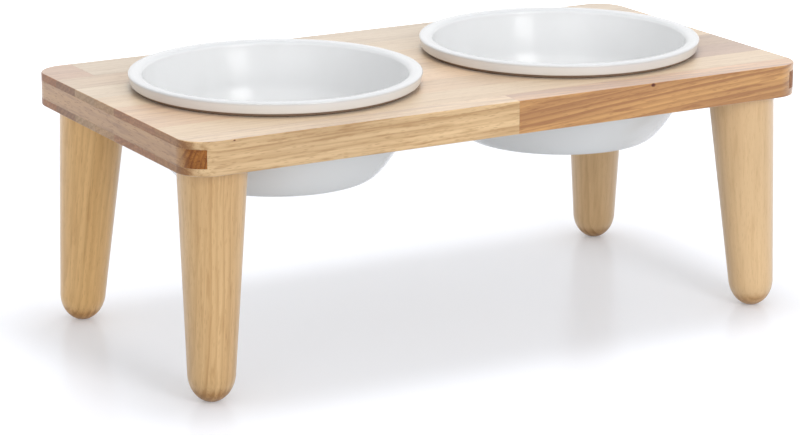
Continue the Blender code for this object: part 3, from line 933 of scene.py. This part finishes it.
class FEEDER_OT_legs(bpy.types.Operator):
    """Turn the four splayed legs and trim them at the board and the floor"""

    bl_idname = "feeder.legs"
    bl_label = "Turn the legs"

    def execute(self, context):
        settings = context.scene.feeder_legs
        drop = BOARD_LOW.z - LEG_DOME + FOOT_FLAT_DEPTH
        for node in LEGS:
            row, side = node.split("_")[1:]
            x_sign = 1.0 if side == "right" else -1.0
            y_sign = 1.0 if row == "back" else -1.0
            top = Vector((
                x_sign * (BOARD_HIGH.x - LEG_INSET_X),
                y_sign * (BOARD_HIGH.y - LEG_INSET_Y),
                BOARD_LOW.z,
            ))
            run = Vector((x_sign * LEG_SPLAY_X, y_sign * LEG_SPLAY_Y, -drop))
            mesh = turn_section(node, leg_section(run.length), settings.steps)
            turn = Vector((0.0, 0.0, -1.0)).rotation_difference(run)
            mesh.transform(Matrix.Translation(top) @ turn.to_matrix().to_4x4())
            trim_leg(mesh)
            smooth(mesh, 40.0)
            seed, pith, rings, fine, tone = LEG_WOOD[node]
            material = wood_material(
                node + "_wood", darker(settings.leg_wood, tone), darker(settings.dark_wood, tone),
                (0.82, 0.72, 0.62), axis=-run.normalized(), origin=top, pith=(0.0, *pith),
                tilt=(1.5, -1.1), spacing=0.0038, rings=rings, waver=0.011, streaks=0.62 * fine,
                pores=0.7 * fine, seed=seed, haze=0.22)
            piece = new_piece(node + "_turned", mesh, [material])
            take_place(piece, node, "stand")
        return {"FINISHED"}


def bowl_section(settings, rim_radius):
    """Section of a bowl, measured up from the board's top face, and where its foot starts."""
    base = -BOWL_DEPTH
    under = BOARD_LOW.z - BOARD_HIGH.z
    floor = base + FLOOR_THICKNESS
    wall_radius = HOLE_RADIUS - BOWL_PLAY
    wall_outer = wall_radius - WALL_DRAFT
    wall_inner = wall_outer - WALL_THICKNESS
    floor_radius = BASE_RADIUS - FLOOR_INSET
    sin_a = math.sin(WALL_ANGLE)
    cos_a = math.cos(WALL_ANGLE)

    # The flat floor, its sweep up into the wall, and the straight wall inside the board
    turn = WALL_PULL_INSIDE * (under - floor)
    section = [(floor_radius * i / 6.0, floor) for i in range(6)]
    section += bezier(
        (floor_radius, floor),
        (floor_radius + FLOOR_SWEEP, floor),
        (wall_inner - turn * sin_a, under - turn * cos_a),
        (wall_inner, under),
        WALL_STEPS,
    )
    inner_round = settings.rim_inner_round
    outer_round = settings.rim_outer_round
    top = RIM_HEIGHT - RIM_CROWN
    rim_inner = rim_radius - RIM_WIDTH
    inner_drop = RIM_INNER_SQUASH * inner_round
    wall = list(zip(section[-1], (rim_inner, top - inner_drop)))
    section += [tuple(a + (b - a) * i / 8.0 for a, b in wall) for i in range(1, 8)]
    # Over the rim, whose crest is slightly crowned, and down its outer band
    section += arc(
        rim_inner + inner_round, top - inner_drop, inner_round, 180, 96, 12, inner_drop)
    crest = rim_radius - RIM_CREST_INSET
    shoulder = RIM_HEIGHT - 0.02 * MM
    section += [
        (crest - 0.8 * MM, shoulder), (crest, RIM_HEIGHT), (crest + 0.8 * MM, shoulder)]
    section += arc(rim_radius - outer_round, top - outer_round, outer_round, 84, 0, 8)
    band_x = rim_radius - RIM_BAND_FLARE - RIM_BAND_ROUND
    section += arc(band_x, RIM_LIFT + RIM_BAND_ROUND, RIM_BAND_ROUND, -8, -90, 7)
    # The low ring under the rim that sits on the board
    seat = HOLE_RADIUS + SEAT_WIDTH
    section += [(seat + 0.9 * MM, RIM_LIFT + 0.1 * MM), (seat + 0.55 * MM, RIM_LIFT - 0.1 * MM)]
    section += arc(seat, SEAT_GAP + 0.35 * MM, 0.5 * MM, 0, -150, 7, 0.35 * MM)
    section += [(wall_radius, SEAT_GAP + 0.9 * MM), (wall_radius - 0.1 * MM, -0.4 * MM)]

    # Down the outside to the heel, and across the foot ring to the middle
    turn = WALL_PULL_OUTSIDE * (under - base)
    section += bezier(
        (wall_outer, under),
        (wall_outer - turn * sin_a, under - turn * cos_a),
        (BASE_RADIUS + BASE_HEEL, base),
        (BASE_RADIUS, base),
        WALL_STEPS,
    )
    outer = BASE_RADIUS - FOOT_RING_INSET
    inner = outer - FOOT_RING_WIDTH
    foot = base - FOOT_RING_HEIGHT
    edge = FOOT_RING_ROUND
    section += [(outer + 0.9 * MM, base), (outer + 0.35 * MM, base - 0.3 * MM)]
    section += arc(outer - edge, foot + edge, edge, 0, -90, 4)
    section += arc(inner + edge, foot + edge, edge, -90, -180, 4)
    section += [(inner - 0.35 * MM, base - 0.3 * MM), (inner - 0.9 * MM, base)]
    section += [(inner * i / 4.0, base) for i in (3, 2, 1, 0)]
    return section, foot + BARE_FOOT_HEIGHT


# Painted shade on the rim's crest: the glaze there is multiplied by this share to hold back the
# extra light the crest catches
RIM_CREST_SHADE = (0.865, 0.870, 0.885, 1.0)


def glaze_material(settings):
    """Glossy white glaze with a faint unevenness, and painted shade that greys the top of the rim
    where it catches the most light.
    """
    material, sheet, shader = new_material("white_glaze")
    place = sheet.put("ShaderNodeTexCoord").outputs["Object"]
    share = sheet.ease(sheet.noise(place, (26.0, 26.0, 26.0), 3.0)[0], 0.3, 0.7)
    tint = darker(settings.glaze, (0.975, 0.975, 0.97))
    color = sheet.blend(share, (*settings.glaze, 1.0), (*tint, 1.0))
    reach = sheet.vector("LENGTH", sheet.vector("MULTIPLY", place, (1.0, 1.0, 0.0)))
    height = sheet.put("ShaderNodeSeparateXYZ", {0: place}).outputs["Z"]
    # Mask of the rim's crest, where painted shade greys the glaze
    crest_shade_mask = sheet.ease(reach, HOLE_RADIUS - 5.0 * MM, HOLE_RADIUS - 3.0 * MM)
    near_crest = sheet.ease(height, RIM_HEIGHT - 2.4 * MM, RIM_HEIGHT - 0.8 * MM)
    crest_shade_mask = sheet.math("MULTIPLY", crest_shade_mask, near_crest)
    crest_shaded_color = sheet.blend(1.0, color, RIM_CREST_SHADE, "MULTIPLY")
    speck = sheet.noise(place, (420.0, 420.0, 420.0))[0]
    wave = sheet.noise(place, (55.0, 55.0, 55.0), 1.0)[0]
    sheet.fill(shader, {
        "Base Color": sheet.blend(crest_shade_mask, color, crest_shaded_color),
        "Roughness": sheet.ease(speck, 0.35, 0.75, 0.15, 0.21),
        "IOR": 1.42,
        "Normal": sheet.bump(wave, 0.12, 0.3 * MM),
    })
    return material


def bare_clay_material(name, color):
    """Matt fired clay where a bowl has no glaze, with fine specks; in a dark colour it is also the
    painted shade in the gap under the rim.
    """
    material, sheet, shader = new_material(name)
    place = sheet.put("ShaderNodeTexCoord").outputs["Object"]
    grit = sheet.noise(place, (1500.0, 1500.0, 1500.0), 3.0)[0]
    dark = darker(color, (0.62, 0.58, 0.52))
    sheet.fill(shader, {
        "Base Color": sheet.blend(sheet.ease(grit, 0.60, 0.72), (*color, 1.0), (*dark, 1.0)),
        "Roughness": sheet.ease(grit, 0.2, 0.8, 0.75, 0.92),
        "Normal": sheet.bump(grit, 0.5, 0.1 * MM),
    })
    return material


class FEEDER_OT_bowls(bpy.types.Operator):
    """Turn and glaze the two bowls"""

    bl_idname = "feeder.bowls"
    bl_label = "Throw the bowls"

    def execute(self, context):
        settings = context.scene.feeder_bowls
        glaze = glaze_material(settings)
        foot_clay = bare_clay_material("foot_clay", settings.bare_clay)
        # The seat under the rim gets a dark clay as painted shade for the gap between rim and
        # board
        seat_clay = bare_clay_material("seat_clay", settings.seat_clay)
        for node in BOWLS:
            low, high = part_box(node)
            section, foot = bowl_section(settings, (high.y - low.y) / 2.0)
            mesh = turn_section(node, section, settings.steps)
            smooth(mesh, 50.0)
            piece = new_piece(node + "_glazed", mesh, [glaze, foot_clay, seat_clay])
            # Faces under the foot take bare clay; faces of the seat under the rim take the dark
            # clay painted as the gap's shade
            for polygon in mesh.polygons:
                middle = polygon.center
                under_rim = -1.0 * MM < middle.z < RIM_LIFT + 0.4 * MM
                in_gap_shade = HOLE_RADIUS - 2.0 * BOWL_PLAY < middle.xy.length < GAP_SHADE_RADIUS
                if middle.z < foot:
                    polygon.material_index = 1
                elif under_rim and in_gap_shade:
                    polygon.material_index = 2
            piece.location = (*hole_centre(node.split("_")[1]), BOARD_HIGH.z)
            take_place(piece, node, node + "_body")
        return {"FINISHED"}


def metal_material(name, color, rough):
    """Worn plated or cast metal."""
    material, sheet, shader = new_material(name)
    place = sheet.put("ShaderNodeTexCoord").outputs["Object"]
    grain = sheet.noise(place, (900.0, 900.0, 260.0), 3.0)[0]
    dull = darker(color, (0.78, 0.78, 0.80))
    sheet.fill(shader, {
        "Base Color": sheet.blend(sheet.ease(grain, 0.35, 0.70), (*color, 1.0), (*dull, 1.0)),
        "Metallic": 1.0,
        "Roughness": sheet.ease(grain, 0.3, 0.7, rough, rough + 0.18),
        "Normal": sheet.bump(grain, 0.3, 0.1 * MM),
    })
    return material


class FEEDER_OT_fixings(bpy.types.Operator):
    """Finish the bolts and threaded inserts inside the stand"""

    bl_idname = "feeder.fixings"
    bl_label = "Finish the fixings"

    def execute(self, context):
        settings = context.scene.feeder_fixings
        steel = metal_material("bolt_steel_finish", settings.steel, 0.28)
        insert_metal = metal_material("insert_metal_finish", settings.insert_metal, 0.42)
        for nodes, material in ((BOLTS, steel), (INSERTS, insert_metal)):
            for node in nodes:
                for slot in frame["nodes"][node].material_slots:
                    slot.material = material
        return {"FINISHED"}


def seen_directly(sheet):
    """1 for rays from the camera, in gloss and through glass, and 0 for bounced light."""
    path = sheet.put("ShaderNodeLightPath").outputs
    seen = sheet.math("MAXIMUM", path["Is Camera Ray"], path["Is Glossy Ray"])
    return sheet.math("MAXIMUM", seen, path["Is Transmission Ray"])


def lay_floor(settings):
    """A pale floor that keeps the object's shadow and turns white further out."""
    bm = bmesh.new()
    bmesh.ops.create_grid(bm, x_segments=4, y_segments=4, size=FLOOR_HALF_WIDTH)
    material = bpy.data.materials.new("studio_floor")
    material.use_nodes = True
    material.node_tree.nodes.clear()
    sheet = NodeSheet(material.node_tree)
    bounce = sheet.put("ShaderNodeBsdfDiffuse", {"Color": (*settings.floor_color, 1.0)})
    away = sheet.vector("LENGTH", sheet.put("ShaderNodeTexCoord").outputs["Object"])
    paper = [part * settings.floor_share for part in FLOOR_TINT]
    shaded = sheet.put("ShaderNodeBsdfPrincipled", {
        "Base Color": (*paper, 1.0),
        "Roughness": 0.24,
        "Specular IOR Level": 0.06,
        "Emission Color": sheet.ease(away, *FLOOR_FADE, settings.floor_lift, 1.0),
        "Emission Strength": 1.0,
    })
    mixed = sheet.put("ShaderNodeMixShader", {
        0: seen_directly(sheet), 1: bounce.outputs[0], 2: shaded.outputs[0],
    })
    sheet.put("ShaderNodeOutputMaterial", {"Surface": mixed.outputs[0]})
    new_piece("studio_floor", new_mesh("studio_floor", bm), [material])


def hang_backdrop(settings):
    """An even fill light from all round, which is white where it is seen."""
    world = bpy.data.worlds.new("studio")
    bpy.context.scene.world = world
    world.use_nodes = True
    world.node_tree.nodes.clear()
    sheet = NodeSheet(world.node_tree)
    white = (1.0, 1.0, 1.0, 1.0)
    fill = sheet.put("ShaderNodeBackground", {"Color": white, "Strength": settings.fill})
    seen = sheet.put("ShaderNodeBackground", {"Color": white, "Strength": 1.0})
    mixed = sheet.put("ShaderNodeMixShader", {
        0: seen_directly(sheet), 1: fill.outputs[0], 2: seen.outputs[0],
    })
    sheet.put("ShaderNodeOutputWorld", {"Surface": mixed.outputs[0]})


def hang_lamps(settings):
    """Four rectangular softboxes that face the middle of the feeder."""
    for side, (size, place) in SOFTBOXES.items():
        data = bpy.data.lights.new(side + "_softbox", "AREA")
        data.shape = "RECTANGLE"
        data.size, data.size_y = size
        data.energy = getattr(settings, side + "_power")
        lamp = add_object(side + "_softbox", data, place)
        aim = Vector(FEEDER_MIDDLE) - Vector(place)
        lamp.rotation_euler = aim.to_track_quat("-Z", "Y").to_euler()
        lamp.visible_camera = False
        # The bowls' flat floors would mirror the one overhead straight back
        lamp.visible_glossy = side != "top"


def place_camera():
    """The camera at the photograph's viewing angle."""
    camera = bpy.data.cameras.new("camera")
    camera.sensor_fit = "HORIZONTAL"
    camera.sensor_width = CAMERA_SENSOR
    camera.lens = CAMERA_LENS
    camera.clip_start, camera.clip_end = CAMERA_CLIP
    eye = add_object("camera", camera)
    ahead = Vector((
        math.sin(CAMERA_YAW) * math.cos(CAMERA_PITCH),
        math.cos(CAMERA_YAW) * math.cos(CAMERA_PITCH),
        math.sin(CAMERA_PITCH),
    ))
    right = Vector((math.cos(CAMERA_YAW), -math.sin(CAMERA_YAW), 0.0))
    up = right.cross(ahead)
    right, up = (
        right * math.cos(CAMERA_ROLL) + up * math.sin(CAMERA_ROLL),
        up * math.cos(CAMERA_ROLL) - right * math.sin(CAMERA_ROLL),
    )
    turn = Matrix((right, up, -ahead)).transposed().to_4x4()
    eye.matrix_world = Matrix.Translation(CAMERA_PLACE) @ turn
    bpy.context.scene.camera = eye


class FEEDER_OT_stage(bpy.types.Operator):
    """Set the floor, the white background, the lamps and the camera"""

    bl_idname = "feeder.stage"
    bl_label = "Set the stage"

    def execute(self, context):
        settings = context.scene.feeder_stage
        context.scene.view_settings.view_transform = "Standard"
        lay_floor(settings)
        hang_backdrop(settings)
        hang_lamps(settings)
        place_camera()
        return {"FINISHED"}


class FEEDER_PT_sidebar(bpy.types.Panel):
    """Sizes, colours and the steps that make the feeder"""

    bl_idname = "FEEDER_PT_sidebar"
    bl_label = "Raised pet feeder"
    bl_space_type = "VIEW_3D"
    bl_region_type = "UI"
    bl_category = "Feeder"

    def draw(self, context):
        scene = context.scene
        for title, settings, operators in (
            ("Board", scene.feeder_board, (FEEDER_OT_staves, FEEDER_OT_end_keys)),
            ("Legs", scene.feeder_legs, (FEEDER_OT_legs,)),
            ("Bowls", scene.feeder_bowls, (FEEDER_OT_bowls,)),
            ("Fixings", scene.feeder_fixings, (FEEDER_OT_fixings,)),
            ("Stage", scene.feeder_stage, (FEEDER_OT_stage,)),
        ):
            box = self.layout.box()
            box.label(text=title)
            for name in settings.__annotations__:
                box.prop(settings, name)
            for operator in operators:
                box.operator(operator.bl_idname)


SETTINGS = {
    "feeder_board": BoardSettings,
    "feeder_legs": LegSettings,
    "feeder_bowls": BowlSettings,
    "feeder_fixings": FixingSettings,
    "feeder_stage": StageSettings,
}

CLASSES = (
    *SETTINGS.values(),
    FEEDER_OT_staves,
    FEEDER_OT_end_keys,
    FEEDER_OT_legs,
    FEEDER_OT_bowls,
    FEEDER_OT_fixings,
    FEEDER_OT_stage,
    FEEDER_PT_sidebar,
)


def register():
    """Make the classes and the scene's settings known."""
    for cls in CLASSES:
        bpy.utils.register_class(cls)
    for name, cls in SETTINGS.items():
        setattr(bpy.types.Scene, name, PointerProperty(type=cls))


def unregister():
    """Take the scene's settings and the classes away again."""
    for name in SETTINGS:
        delattr(bpy.types.Scene, name)
    for cls in reversed(CLASSES):
        bpy.utils.unregister_class(cls)


def main():
    register()
    bpy.ops.feeder.staves()
    bpy.ops.feeder.end_keys()
    bpy.ops.feeder.legs()
    bpy.ops.feeder.bowls()
    bpy.ops.feeder.fixings()
    bpy.ops.feeder.stage()


if __name__ == "__main__":
    main()
